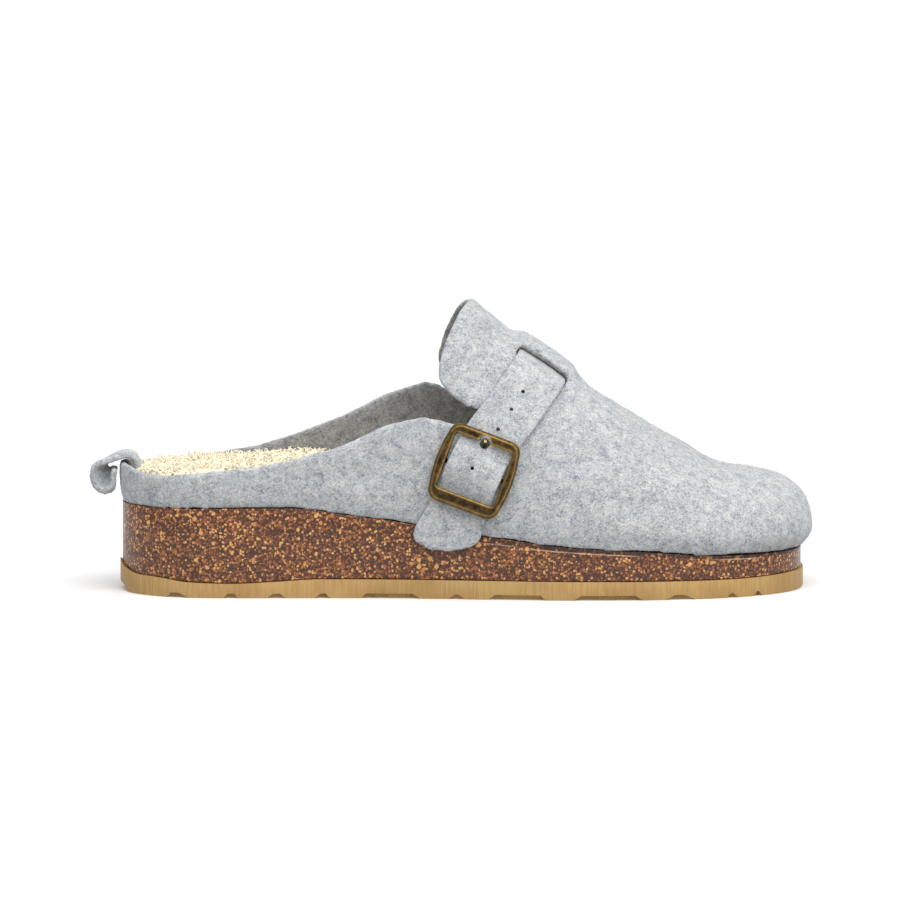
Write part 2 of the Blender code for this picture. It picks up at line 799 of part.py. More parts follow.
def slot_cutter():
    """The strap's own room through the felt, with the two slots that it comes out of."""
    reach = 1.02 * BRIDGE_WIDTH
    inside = [row for row in ROWS if abs(row[4]) < reach]
    loops = []
    half = STRAP_THICKNESS / 2
    room = 1.2 * FIT
    lip = BRIDGE_WIDTH / 2

    def widened(row, place, top):
        offset = strap_offset(place)
        wider = 1 + 3 * room / STRAP_WIDTH
        return strap_loop(row, offset - half - room, offset + half + top, wider)

    for before, row in zip([None] + inside, inside):
        if before is not None:
            for side in (1, -1):
                if (before[4] - side * lip) * (row[4] - side * lip) < 0:
                    u = (side * lip - before[4]) / (row[4] - before[4])
                    middle = before[0].lerp(row[0], u)
                    points = [a.lerp(b, u) for a, b in zip(before[1], row[1])]
                    normal = before[2].lerp(row[2], u).normalized()
                    at_lip = (middle, points, normal, row[3], side * lip)
                    tops = (SLOT_HEIGHT, room) if side > 0 else (room, SLOT_HEIGHT)
                    first = widened(at_lip, at_lip[4], tops[0])
                    second = widened(at_lip, at_lip[4], tops[1])
                    shift = (row[0] - before[0]).normalized() * LIP_STEP
                    loops.append(first)
                    loops.append([p + shift for p in second])
        top = SLOT_HEIGHT if abs(row[4]) > lip else room
        loops.append(widened(row, row[4], top))
    return loft("slot_cutter", None, loops)


def at_buckle(along, across, out):
    middle, way, side, normal, _ = BUCKLE
    return middle + way * along + side * across + normal * out


def frame_loop(up, down, wide, corner, bulge, out, lowered=0.0, arc=6):
    """Rounded rectangle in the buckle's plane, from its upper end round by the inner side."""
    points = []
    places = (
        (-up + corner, wide - corner, 90),
        (down - corner, wide - corner, 0),
        (down - corner, -wide + corner, -90),
        (-up + corner, -wide + corner, -180),
    )
    for along, across, start in places:
        for k in range(arc):
            angle = math.radians(start + 90 - 90 * k / (arc - 1))
            a = along + corner * math.cos(angle)
            c = across + corner * math.sin(angle)
            points.append((a, c))
        last = points[-1]
        index = places.index((along, across, start))
        following = places[(index + 1) % 4]
        angle = math.radians(following[2] + 90)
        ahead = (following[0] + corner * math.cos(angle), following[1] + corner * math.sin(angle))
        for k in range(1, SIDE_STEPS + 1):
            u = k / (SIDE_STEPS + 1)
            points.append((last[0] + (ahead[0] - last[0]) * u, last[1] + (ahead[1] - last[1]) * u))
    length = max(up, down)
    bowed = []
    for a, c in points:
        side = 1 if c > 0 else -1
        bow = bulge * max(0.0, 1 - (a / length) ** 2) * min(1.0, abs(c) / (wide * 0.8)) ** 4
        lug = lowered * max(0.0, 1 - (a / (0.6 * length)) ** 2)
        bowed.append(at_buckle(a, c + side * bow, out - lug))
    return bowed


def build_buckle_frame(brass):
    half_long, half_wide = FRAME_LENGTH / 2, FRAME_WIDTH / 2
    low = STRAP_SEAT + STRAP_THICKNESS + FRAME_LIFT
    high = low + FRAME_THICKNESS
    inner_up, inner_down = half_long - FRAME_TOP_BAR, half_long - FRAME_END_BAR
    inner_wide = STRAP_WIDTH / 2 + 3 * FIT
    corner, inner_corner = FRAME_CORNER, 0.5 * FRAME_CORNER
    chamfer = 0.22 * FRAME_THICKNESS
    rings = [
        frame_loop(half_long, half_long, half_wide, corner, FRAME_SIDE_BULGE, low + chamfer, HINGE_LUG),
        frame_loop(half_long, half_long, half_wide, corner, FRAME_SIDE_BULGE, high - 2 * chamfer),
        frame_loop(
            half_long - 2 * chamfer, half_long - 2 * chamfer, half_wide - 1.6 * chamfer,
            corner, FRAME_SIDE_BULGE, high,
        ),
        frame_loop(inner_up + chamfer, inner_down + chamfer, inner_wide + chamfer, inner_corner, 0, high),
        frame_loop(inner_up, inner_down, inner_wide, inner_corner, 0, high - chamfer),
        frame_loop(inner_up, inner_down, inner_wide, inner_corner, 0, low, HINGE_LUG),
        frame_loop(
            half_long - chamfer, half_long - chamfer, half_wide - chamfer, corner, FRAME_SIDE_BULGE, low, HINGE_LUG
        ),
    ]
    count = len(rings[0])
    verts = [point for ring in rings for point in ring]
    faces = []
    for i in range(len(rings)):
        following = (i + 1) % len(rings)
        for j in range(count):
            k = (j + 1) % count
            faces.append((i * count + j, i * count + k, following * count + k, following * count + j))
    frame = mesh_object("buckle_frame", brass, verts, faces)
    bar_reach = inner_wide + 0.5 * (half_wide - inner_wide)
    bar = rod("hinge_bar", None, at_buckle(0, -bar_reach, HINGE_LIFT), at_buckle(0, bar_reach, HINGE_LIFT))
    join_to(frame, bar)
    notch_at = -inner_up - NOTCH_SHIFT
    notch = rod(
        "prong_notch", None, at_buckle(notch_at, 0, low - FRAME_THICKNESS),
        at_buckle(notch_at, 0, high + FRAME_THICKNESS), PRONG_NOTCH_RADIUS, 20,
    )
    cut(frame, notch)
    return frame


def rod(name, rod_material, start, end, radius=HINGE_RADIUS, sides=12):
    """Round bar between two points."""
    way = (end - start).normalized()
    first = way.orthogonal().normalized()
    second = way.cross(first)
    loops = []
    for centre in (start, end):
        loops.append(
            [
                centre + first * radius * math.cos(2 * math.pi * k / sides)
                + second * radius * math.sin(2 * math.pi * k / sides)
                for k in range(sides)
            ]
        )
    return loft(name, rod_material, loops)


def swept_plate(name, plate_material, outline, width):
    """Plate with a side outline in the buckle's plane of along and out, of a width across."""
    loops = [[at_buckle(a, side * width / 2, h) for a, h in outline] for side in (-1, 1)]
    return loft(name, plate_material, loops)


def build_buckle_tab(felt):
    """Loop that holds the hinge bar, sewn to the upper under the strap."""
    inner = HINGE_RADIUS + FIT
    outer = inner + TAB_THICKNESS
    low = STRAP_SEAT
    reach = 0.24 * FRAME_LENGTH
    outline = [(reach, low), (reach, low + TAB_THICKNESS)]
    steps = 12
    start = math.asin(min(1, (HINGE_LIFT - low - TAB_THICKNESS) / outer))
    for k in range(steps + 1):
        angle = -start + (2 * math.pi - math.pi / 2 + start) * k / steps
        outline.append((outer * math.cos(angle), HINGE_LIFT + outer * math.sin(angle)))
    outline.append((0.0, low))
    body = swept_plate("buckle_tab", felt, tidy_outline(outline), TAB_WIDTH)
    bore = rod(
        "tab_bore", None, at_buckle(0, -TAB_WIDTH, HINGE_LIFT), at_buckle(0, TAB_WIDTH, HINGE_LIFT), inner, 16
    )
    cut(body, bore)
    back, front, under, over = -2 * outer, outer + TAB_THICKNESS, low - TAB_THICKNESS, 4 * outer
    gap = [(back, under), (front, under), (front, over), (back, over)]
    slit = swept_plate("tab_slit", None, gap, 2 * (PRONG_RADIUS + 3 * FIT))
    cut(body, slit)
    return body


def tidy_outline(points):
    kept = [points[0]]
    for point in points[1:]:
        if math.dist(point, kept[-1]) > 1e-5:
            kept.append(point)
    return kept


def build_prong(brass):
    """Prong from its eye on the hinge bar, under the strap and up through it to the notch."""
    inner_up = FRAME_LENGTH / 2 - FRAME_TOP_BAR
    top = STRAP_SEAT + STRAP_THICKNESS + FRAME_LIFT + 0.55 * FRAME_THICKNESS
    route = (
        (-HINGE_RADIUS - FIT - TAB_THICKNESS / 2, HINGE_LIFT),
        (-0.30 * inner_up, 0.85 * HINGE_LIFT),
        (-0.57 * inner_up, 0.46 * HINGE_LIFT),
        (-0.80 * inner_up, 0.24 * HINGE_LIFT),
        (-0.92 * inner_up, 0.55 * HINGE_LIFT),
        (-1.01 * inner_up, 0.30 * HINGE_LIFT + 0.55 * top),
        (-1.06 * inner_up, top),
    )
    loops = []
    sides = 10
    for i, (along, out) in enumerate(route):
        before, after = route[max(i - 1, 0)], route[min(i + 1, len(route) - 1)]
        way = Vector((after[0] - before[0], after[1] - before[1])).normalized()
        loop = []
        for k in range(sides):
            angle = 2 * math.pi * k / sides
            lift = PRONG_RADIUS * math.cos(angle)
            side = PRONG_RADIUS * math.sin(angle)
            loop.append(at_buckle(along - way.y * lift, side, out + way.x * lift))
        loops.append(loop)
    prong = loft("buckle_prong", brass, loops)
    eye_outer = HINGE_RADIUS + FIT + TAB_THICKNESS
    half = PRONG_RADIUS + FIT / 2
    eye = rod("prong_eye", None, at_buckle(0, -half, HINGE_LIFT), at_buckle(0, half, HINGE_LIFT), eye_outer, 16)
    join_to(prong, eye)
    reach = 3 * half
    bore = rod(
        "prong_bore", None, at_buckle(0, -reach, HINGE_LIFT), at_buckle(0, reach, HINGE_LIFT), HINGE_RADIUS + FIT, 16
    )
    cut(prong, bore)
    return prong


def prong_hole_cutter():
    inner_up = FRAME_LENGTH / 2 - FRAME_TOP_BAR
    at = -0.95 * inner_up
    reach = at_buckle(at, 0, 4 * STRAP_THICKNESS)
    return rod("prong_hole", None, at_buckle(at, 0, -STRAP_THICKNESS), reach, PRONG_NOTCH_RADIUS - FIT, 14)


def smooth_points(points, between):
    """Points of a smooth curve through the given ones."""
    made = []
    last = len(points) - 1
    for i in range(last):
        a = points[i - 1] if i else 2 * points[0] - points[1]
        b, c = points[i], points[i + 1]
        d = points[i + 2] if i < last - 1 else 2 * points[last] - points[last - 1]
        for k in range(between):
            u = k / between
            made.append(curve_point(a, b, c, d, u))
    made.append(points[last])
    return made


def build_pull_loop(felt):
    rim = profile_height(0, COLLAR[1][1])
    side = plan_point(0).y
    points = [Vector((back, side, rim + above)) for back, above in PULL_LOOP]
    line = smooth_points(points, 3)
    half = LOOP_THICKNESS / 2
    loops = []
    for i, point in enumerate(line):
        before, after = line[max(i - 1, 0)], line[min(i + 1, len(line) - 1)]
        way = (after - before).normalized()
        beyond_rim = max(0.0, i / (len(line) - 1) - LOOP_TWIST_FROM) / (1 - LOOP_TWIST_FROM)
        turn = LOOP_TWIST * math.sin(math.pi * beyond_rim) ** 2
        flat = Vector((-way.z, 0, way.x))
        normal = flat * math.cos(turn) - Vector((0, math.sin(turn), 0))
        across = (flat * math.sin(turn) + Vector((0, math.cos(turn), 0))) * LOOP_WIDTH / 2
        loops.append(
            [
                point - across + normal * half,
                point + across + normal * half,
                point + across - normal * half,
                point - across - normal * half,
            ]
        )
    return loft("pull_loop", felt, loops)


def centre_on_floor(pieces):
    """Move everything so that the middle of the whole clog stands over the origin."""
    bpy.context.view_layer.update()
    graph = bpy.context.evaluated_depsgraph_get()
    lows, highs = [], []
    for piece in pieces:
        shape = piece.evaluated_get(graph).to_mesh()
        for axis in (0, 1):
            values = [v.co[axis] for v in shape.vertices]
            lows.append((axis, min(values)))
            highs.append((axis, max(values)))
    shift = Vector((0, 0, 0))
    for axis in (0, 1):
        low = min(value for which, value in lows if which == axis)
        high = max(value for which, value in highs if which == axis)
        shift[axis] = -(low + high) / 2
    for thing in bpy.data.objects:
        thing.location = shift


def main():
    global ROWS, BUCKLE
    clear_scene()
    felt = material("grey wool felt", (0.52, 0.55, 0.58), 0.95)
    inner_felt = material("grey felt strap", (0.50, 0.53, 0.56), 0.95)
    cork = material("cork", (0.20, 0.10, 0.05), 0.6)
    rubber = material("tan rubber", (0.45, 0.28, 0.10), 0.6)
    fleece = material("cream fleece", (0.86, 0.80, 0.66), 1.0)
    brass = material("antique brass", (0.30, 0.20, 0.08), 0.35, 1.0)
    ROWS = strap_rows()
    BUCKLE = buckle_seat()
    strap = build_strap(inner_felt)
    cut(strap, prong_hole_cutter())
    pieces = [
        build_outsole(rubber),
        build_midsole(cork),
        build_insole(fleece),
        build_upper(felt),
        strap,
        build_buckle_frame(brass),
        build_buckle_tab(inner_felt),
        build_prong(brass),
        build_pull_loop(inner_felt),
    ]
    centre_on_floor(pieces)


main()
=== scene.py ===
# Felt clog for the right foot: dresses the CAD frame with felt, cork, rubber, fleece and brass.
import math

import bmesh
import bpy
import numpy as np
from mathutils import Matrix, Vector, noise


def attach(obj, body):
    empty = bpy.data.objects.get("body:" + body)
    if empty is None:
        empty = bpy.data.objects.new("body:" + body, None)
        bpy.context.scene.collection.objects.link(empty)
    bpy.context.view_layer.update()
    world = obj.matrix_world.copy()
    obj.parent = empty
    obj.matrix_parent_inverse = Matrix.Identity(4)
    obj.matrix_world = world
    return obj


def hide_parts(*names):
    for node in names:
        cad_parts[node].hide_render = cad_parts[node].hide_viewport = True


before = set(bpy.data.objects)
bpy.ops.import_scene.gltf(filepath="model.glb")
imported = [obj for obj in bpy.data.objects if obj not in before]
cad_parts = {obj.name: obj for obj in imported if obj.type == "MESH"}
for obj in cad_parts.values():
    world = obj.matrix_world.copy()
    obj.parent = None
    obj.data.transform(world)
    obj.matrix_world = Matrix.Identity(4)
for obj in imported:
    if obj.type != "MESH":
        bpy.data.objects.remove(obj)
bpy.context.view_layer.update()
print("frame loaded:", len(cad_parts), "solids")

mm = 0.001


# small helpers used by every piece
def toLinear(hexColour, alpha=1.0):
    channels = [int(hexColour[i : i + 2], 16) / 255 for i in (1, 3, 5)]
    return tuple(c / 12.92 if c <= 0.04045 else ((c + 0.055) / 1.055) ** 2.4 for c in channels) + (alpha,)


def fillNode(tree, node, values, links):
    for key, value in values.items():
        node.inputs[key].default_value = value
    for key, source in links.items():
        tree.links.new(source, node.inputs[key])


def addNode(tree, kind, settings=None, values=None, links=None):
    node = tree.nodes.new(kind)
    for key, value in (settings or {}).items():
        setattr(node, key, value)
    fillNode(tree, node, values or {}, links or {})
    return node


def addRamp(tree, source, stops):
    node = addNode(tree, "ShaderNodeValToRGB", None, None, {"Fac": source})
    while len(node.color_ramp.elements) < len(stops):
        node.color_ramp.elements.new(0.5)
    for element, (position, colour) in zip(node.color_ramp.elements, stops):
        element.position = position
        element.color = toLinear(colour) if isinstance(colour, str) else (colour, colour, colour, 1)
    return node.outputs["Color"]


def addMath(tree, operation, *inputs):
    values = {i: entry for i, entry in enumerate(inputs) if isinstance(entry, float)}
    links = {i: entry for i, entry in enumerate(inputs) if not isinstance(entry, float)}
    return addNode(tree, "ShaderNodeMath", {"operation": operation}, values, links).outputs[0]


def addMix(tree, amount, under, over, blend="MIX"):
    colours = {6: under, 7: over}
    values = {i: toLinear(entry) for i, entry in colours.items() if isinstance(entry, str)}
    links = {i: entry for i, entry in colours.items() if not isinstance(entry, str)}
    settings = {"data_type": "RGBA", "blend_type": blend}
    return addNode(tree, "ShaderNodeMix", settings, values, {0: amount, **links}).outputs[2]


def addNoise(tree, place, scale, detail, roughness=0.5, distortion=0.0, output="Fac"):
    values = {"Scale": scale, "Detail": detail, "Roughness": roughness, "Distortion": distortion}
    return addNode(tree, "ShaderNodeTexNoise", None, values, {"Vector": place}).outputs[output]


def addBump(tree, height, strength, distance, below=None):
    links = {"Height": height} if below is None else {"Height": height, "Normal": below}
    return addNode(tree, "ShaderNodeBump", None, {"Strength": strength, "Distance": distance}, links).outputs[0]


def readValue(tree, name):
    return addNode(tree, "ShaderNodeAttribute", {"attribute_name": name}).outputs["Fac"]


def objectPlace(tree):
    return addNode(tree, "ShaderNodeTexCoord").outputs["Object"]


def newMaterial(name):
    made = bpy.data.materials.new(name)
    made.use_nodes = True
    return made, made.node_tree, made.node_tree.nodes["Principled BSDF"]


def deselectAll():
    bpy.ops.object.select_all(action="DESELECT")


def activate(piece):
    deselectAll()
    piece.select_set(True)
    bpy.context.view_layer.objects.active = piece


def copyNode(nodeName, pieceName):
    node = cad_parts[nodeName]
    piece = bpy.data.objects.new(pieceName, node.data.copy())
    bpy.context.scene.collection.objects.link(piece)
    piece.matrix_world = node.matrix_world
    activate(piece)
    bpy.ops.object.transform_apply(location=True, rotation=True, scale=True)
    bpy.ops.object.mode_set(mode="EDIT")
    bpy.ops.mesh.select_all(action="SELECT")
    bpy.ops.mesh.remove_doubles(threshold=0.01 * mm)
    bpy.ops.object.mode_set(mode="OBJECT")
    piece.data.materials.clear()
    return piece


def applyModifier(piece, kind, **settings):
    activate(piece)
    bpy.ops.object.modifier_add(type=kind)
    modifier = piece.modifiers[-1]
    for key, value in settings.items():
        setattr(modifier, key, value)
    bpy.ops.object.modifier_apply(modifier=modifier.name)


def refine(piece, voxel, smoothing):
    applyModifier(piece, "REMESH", mode="VOXEL", voxel_size=voxel)
    if smoothing:
        applyModifier(piece, "SMOOTH", factor=0.5, iterations=smoothing)


def bevelSharpEdges(piece, width, segments, limit):
    applyModifier(
        piece, "BEVEL", width=width, segments=segments, limit_method="ANGLE", angle_limit=math.radians(limit),
        profile=0.6, use_clamp_overlap=True,
    )


def readPoints(mesh):
    flat = np.empty(len(mesh.vertices) * 3, dtype=np.float32)
    mesh.vertices.foreach_get("co", flat)
    return flat.reshape(-1, 3).astype(np.float64)


def readNormals(mesh):
    flat = np.empty(len(mesh.vertices) * 3, dtype=np.float32)
    mesh.vertices.foreach_get("normal", flat)
    return flat.reshape(-1, 3).astype(np.float64)


def writePoints(mesh, points):
    mesh.vertices.foreach_set("co", points.astype(np.float32).ravel())
    mesh.update()


def storeValue(mesh, name, values):
    attribute = mesh.attributes.new(name, "FLOAT", "POINT")
    attribute.data.foreach_set("value", values.astype(np.float32))


def noiseAt(points, size, seed=0.0):
    shift = Vector((seed, seed * 1.7, -seed))
    return np.array([noise.noise(Vector(p) / size + shift) for p in points])


def distanceToPath(points, path):
    best = np.full(len(points), 1e9)
    for start, end in zip(path[:-1], path[1:]):
        start, end = np.array(start), np.array(end)
        way = end - start
        share = np.clip(((points - start) @ way) / (way @ way), 0, 1)
        best = np.minimum(best, np.linalg.norm(points - start - share[:, None] * way, axis=1))
    return best


def finishPiece(piece, material, nodes, smoothAngle=60):
    piece.data.materials.clear()
    piece.data.materials.append(material)
    activate(piece)
    bpy.ops.object.shade_smooth_by_angle(angle=math.radians(smoothAngle))
    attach(piece, "root")
    if nodes:
        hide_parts(*nodes)
    print("made", piece.name, len(piece.data.polygons), "faces")


def surfaceSamples(mesh, count, rng, keep):
    mesh.calc_loop_triangles()
    corners = np.empty(len(mesh.loop_triangles) * 3, dtype=np.int32)
    mesh.loop_triangles.foreach_get("vertices", corners)
    corners = corners.reshape(-1, 3)
    points, normals = readPoints(mesh), readNormals(mesh)
    corners = corners[keep[corners].all(axis=1)]
    a, b, c = points[corners[:, 0]], points[corners[:, 1]], points[corners[:, 2]]
    area = np.linalg.norm(np.cross(b - a, c - a), axis=1)
    chosen = rng.choice(len(corners), size=count, p=area / area.sum())
    u, v = rng.random(count), rng.random(count)
    over = u + v > 1
    u[over], v[over] = 1 - u[over], 1 - v[over]
    w = 1 - u - v
    at = a[chosen] * w[:, None] + b[chosen] * u[:, None] + c[chosen] * v[:, None]
    out = normals[corners[chosen]].mean(axis=1)
    return at, out / np.linalg.norm(out, axis=1)[:, None]


def strandMesh(name, paths, radii, sides, shades):
    count, steps = paths.shape[0], paths.shape[1]
    tangent = np.gradient(paths, axis=1)
    tangent /= np.linalg.norm(tangent, axis=2, keepdims=True) + 1e-12
    # each ring's direction is carried on from the ring before, so that no strand twists
    aside = np.empty_like(paths)
    carried = np.cross(tangent[:, 0], np.eye(3)[np.abs(tangent[:, 0]).argmin(axis=1)])
    for step in range(steps):
        along = tangent[:, step]
        carried = carried - along * (along * carried).sum(axis=1, keepdims=True)
        carried /= np.linalg.norm(carried, axis=1, keepdims=True) + 1e-12
        aside[:, step] = carried
    other = np.cross(tangent, aside)
    angles = 2 * np.pi * np.arange(sides) / sides
    rings = paths[:, :, None, :] + radii[:, :, None, None] * (
        np.cos(angles)[None, None, :, None] * aside[:, :, None, :]
        + np.sin(angles)[None, None, :, None] * other[:, :, None, :]
    )
    points = rings.reshape(-1, 3)
    index = np.arange(count * steps * sides).reshape(count, steps, sides)
    low, high = index[:, :-1, :], index[:, 1:, :]
    walls = np.stack([low, np.roll(low, -1, axis=2), np.roll(high, -1, axis=2), high], axis=-1)
    faces = walls.reshape(-1, 4).tolist()
    faces += index[:, 0, ::-1].tolist()
    faces += index[:, -1, :].tolist()
    mesh = bpy.data.meshes.new(name)
    mesh.from_pydata(points.tolist(), [], faces)
    piece = bpy.data.objects.new(name, mesh)
    bpy.context.scene.collection.objects.link(piece)
    storeValue(mesh, "shade", np.repeat(shades, steps * sides))
    return piece


# cork: pressed granules of two sizes in a dark binder under clear varnish, so the side looks speckled and has
# a soft shine
corkLook = {
    "binder": "#46291D",
    "brown": "#77482D",
    "orange": "#AE6C3B",
    "tan": "#E0A765",
    "paintedShadeUnderFelt": "#8A8480",
    "paintedShadeNearFelt": "#B4AEAA",
    "paintedRimHighlight": "#D8C2AE",
    "smallGranule": 0.95 * mm,
    "largeGranule": 2.3 * mm,
    "largeLeftOut": 0.80,  # share of the large granules
    "raggedness": 1.1 * mm,
    "ragged": 1.1 / mm,  # waves to a millimetre
    "edgePatches": 0.045 / mm,
    "pits": 0.7 / mm,
    "pitDepth": 0.3 * mm,
}


def corkMaterial():
    made, tree, shader = newMaterial("varnished cork granules")
    place = objectPlace(tree)
    wobble = addNoise(tree, place, corkLook["ragged"], 2.0, output="Color")
    shifted = addNode(
        tree, "ShaderNodeVectorMath", {"operation": "MULTIPLY_ADD"}, {1: (corkLook["raggedness"],) * 3},
        {0: wobble, 2: place},
    ).outputs[0]
    binder, brown, orange, tan = (corkLook[name] for name in ("binder", "brown", "orange", "tan"))
    small, large, leftOut = (corkLook[name] for name in ("smallGranule", "largeGranule", "largeLeftOut"))
    layers = (
        # size, colours by chance, where a granule fades into the binder, share of granules left out
        (small, ((0.0, binder), (0.38, brown), (0.76, orange), (0.93, tan)), ((0.46, 1.0), (0.62, 0.0)), 0.0),
        (large, ((0.0, brown), (0.45, orange), (0.8, tan)), ((0.34, 1.0), (0.42, 0.0)), leftOut),
    )
    colour = binder
    for size, stops, fade, skipped in layers:
        cells = addNode(
            tree, "ShaderNodeTexVoronoi", {"feature": "F1"}, {"Scale": 1 / size, "Randomness": 1.0},
            {"Vector": shifted},
        )
        chance = addNode(tree, "ShaderNodeSeparateColor", None, None, {0: cells.outputs["Color"]})
        amount = addRamp(tree, cells.outputs["Distance"], fade)
        if skipped:
            chosen = addMath(tree, "GREATER_THAN", chance.outputs[1], skipped)
            amount = addMath(tree, "MULTIPLY", amount, chosen)
        colour = addMix(tree, amount, colour, addRamp(tree, chance.outputs[0], stops))
    # the top of the side is turned in under the felt; painted shade darkens a strip there, with a thin painted
    # highlight line below it
    below, forefoot = readValue(tree, "belowFelt"), readValue(tree, "forefoot")
    strip = addRamp(
        tree, below, ((0.0, corkLook["paintedShadeUnderFelt"]), (0.10, corkLook["paintedShadeNearFelt"]), (0.15, "#FFFFFF"))
    )
    colour = addMix(tree, forefoot, colour, strip, "MULTIPLY")
    # painted highlight: a thin bright line along the edge, broken into patches
    edge = addRamp(tree, below, ((0.125, 0.0), (0.142, 0.75), (0.150, 0.75), (0.168, 0.0)))
    broken = addRamp(tree, addNoise(tree, place, corkLook["edgePatches"], 2.0), ((0.42, 0.0), (0.52, 1.0)))
    amount = addMath(tree, "MULTIPLY", addMath(tree, "MULTIPLY", edge, broken), forefoot)
    colour = addMix(tree, amount, colour, corkLook["paintedRimHighlight"])
    normal = addBump(tree, addNoise(tree, place, corkLook["pits"], 3.0), 0.35, corkLook["pitDepth"])
    fillNode(
        tree, shader,
        {"Roughness": 0.6, "Specular IOR Level": 0.25, "Coat Weight": 0.5, "Coat Roughness": 0.22},
        {"Base Color": colour, "Normal": normal},
    )
    return made


corkVarnished = corkMaterial()
corkSizes = {
    "rimBevel": 0.5 * mm,
    "stripScale": 10.0 * mm,
    "stripFrom": 5.0 * mm,  # the painted shade strip and painted highlight line show from the arch forward
    "stripFade": 30.0 * mm,
}
cork = copyNode("midsole", "corkFootbed")

# the line where felt meets cork, read from the cork solid as heights along each side
corkPoints = readPoints(cork.data)
rimMiddle = 0.5 * (corkPoints[:, 1].min() + corkPoints[:, 1].max())
rimStations = np.linspace(corkPoints[:, 0].min(), corkPoints[:, 0].max(), 70)
rimTops = {}
for side in (-1, 1):
    here = corkPoints[(corkPoints[:, 1] - rimMiddle) * side >= 0]
    rimTops[side] = [here[np.abs(here[:, 0] - x) < 5 * mm, 2].max() for x in rimStations]


def rimHeight(points):
    heights = {side: np.interp(points[:, 0], rimStations, rimTops[side]) for side in (-1, 1)}
    return np.where(points[:, 1] < rimMiddle, heights[-1], heights[1])


bevelSharpEdges(cork, corkSizes["rimBevel"], 2, 50)
points = readPoints(cork.data)
# masks for the painted shade strip and painted highlight line below the felt
storeValue(cork.data, "belowFelt", np.clip((rimHeight(points) - points[:, 2]) / corkSizes["stripScale"], 0, 1))
storeValue(cork.data, "forefoot", np.clip((points[:, 0] - corkSizes["stripFrom"]) / corkSizes["stripFade"], 0, 1))
finishPiece(cork, corkVarnished, ["midsole"], 40)

# wool felt: pressed fibres heathered with white and blue-grey hairs, so it looks matt, soft and mottled
feltLook = {
    "dark": "#787D86",
    "middle": "#B4B8BB",
    "light": "#D6D6D2",
    "innerFeltAndShadeDark": "#5C5D5F",
    "innerFeltAndShadeMiddle": "#8F9090",
    "innerFeltAndShadeLight": "#B9B8B3",
    "blueHair": "#A3ABC0",
    "paleHair": "#FFF6E2",
    "fleck": 1.1 * mm,
    "mottle": 4.0 * mm,
    "mottleShare": 0.22,
    "fibreShare": 0.26,
    "fibre": 0.75 * mm,  # real fibres are 0.03 mm, too fine to show, so they are drawn as small bundles
    "fibreStretch": 3.0,
    "fibreRelief": 0.6 * mm,
}


def feltMaterial(name, hasInside):
    made, tree, shader = newMaterial(name)
    place = objectPlace(tree)
    mottle = addNoise(tree, place, 1 / feltLook["mottle"], 4.0, 0.6, 0.6)
    total = addMath(tree, "MULTIPLY", mottle, feltLook["mottleShare"])
    # three sets of short strokes lying different ways, as the pressed fibres do
    for turn in ((0.1, 1.2, 0.0), (0.2, -0.9, 0.5), (1.4, 0.3, 0.2)):
        laid = addNode(
            tree, "ShaderNodeMapping", {"vector_type": "TEXTURE"},
            {"Rotation": turn, "Scale": (1.0, 1.0, feltLook["fibreStretch"])}, {"Vector": place},
        )
        strokes = addNoise(tree, laid.outputs[0], 1 / feltLook["fibre"], 3.0, 0.6, 1.5)
        total = addMath(tree, "MULTIPLY_ADD", strokes, feltLook["fibreShare"], total)
    # the noises add up to about 0.5 on average
    colour = addRamp(
        tree, total, ((0.405, feltLook["dark"]), (0.50, feltLook["middle"]), (0.59, feltLook["light"]))
    )
    # inner walls are drawn darker: a darker felt inside, plus painted shade
    if hasInside:
        inside = addRamp(
            tree, total,
            ((0.40, feltLook["innerFeltAndShadeDark"]), (0.50, feltLook["innerFeltAndShadeMiddle"]), (0.62, feltLook["innerFeltAndShadeLight"])),
        )
        colour = addMix(tree, readValue(tree, "inside"), colour, inside)
    # a few hairs are dyed blue-grey and some are undyed
    fleck = addNoise(tree, place, 1 / feltLook["fleck"], 2.0, 0.7)
    amount = addRamp(tree, fleck, ((0.30, 0.55), (0.42, 0.0), (0.60, 0.0), (0.70, 0.45)))
    tint = addRamp(tree, fleck, ((0.45, feltLook["blueHair"]), (0.55, feltLook["paleHair"])))
    colour = addMix(tree, amount, colour, tint, "MULTIPLY")
    fillNode(
        tree, shader,
        {"Roughness": 0.95, "Specular IOR Level": 0.15, "Sheen Weight": 0.25, "Sheen Roughness": 0.6},
        {"Base Color": colour, "Normal": addBump(tree, total, 0.6, feltLook["fibreRelief"])},
    )
    return made


upperFelt = feltMaterial("pressed wool felt, heathered grey", True)
strapFelt = feltMaterial("pressed wool felt, cut strap", False)

# loose wool hairs: as pale as the felt or paler, so that its outline looks soft against the light
hairLook = {"dark": "#9FA5AE", "middle": "#C9CCCF", "light": "#E9E9E6"}


def hairMaterial():
    made, tree, shader = newMaterial("loose wool hairs")
    stops = ((0.0, hairLook["dark"]), (0.5, hairLook["middle"]), (1.0, hairLook["light"]))
    colour = addRamp(tree, readValue(tree, "shade"), stops)
    fillNode(tree, shader, {"Roughness": 0.9, "Specular IOR Level": 0.1}, {"Base Color": colour})
    return made


looseHair = hairMaterial()

# upper: the CAD shell made even, then creased, dented and roughened
upperSizes = {
    "voxel": 1.15 * mm,
    "smoothing": 4,
    "lumpHeight": 0.28 * mm,
    "lumpSize": 11.0 * mm,
    "grainHeight": 0.10 * mm,
    "grainSize": 2.2 * mm,
    "edgeBlend": 1.6 * mm,
    "settle": 0.12 * mm,
    "ridgeShare": 0.45,  # of a crease's depth
    "ridgeAway": 1.7,  # crease widths
    "insideLine": (-0.100, 0.095, 0.032),  # from x, to x, height: the inside faces this line along the foot
}
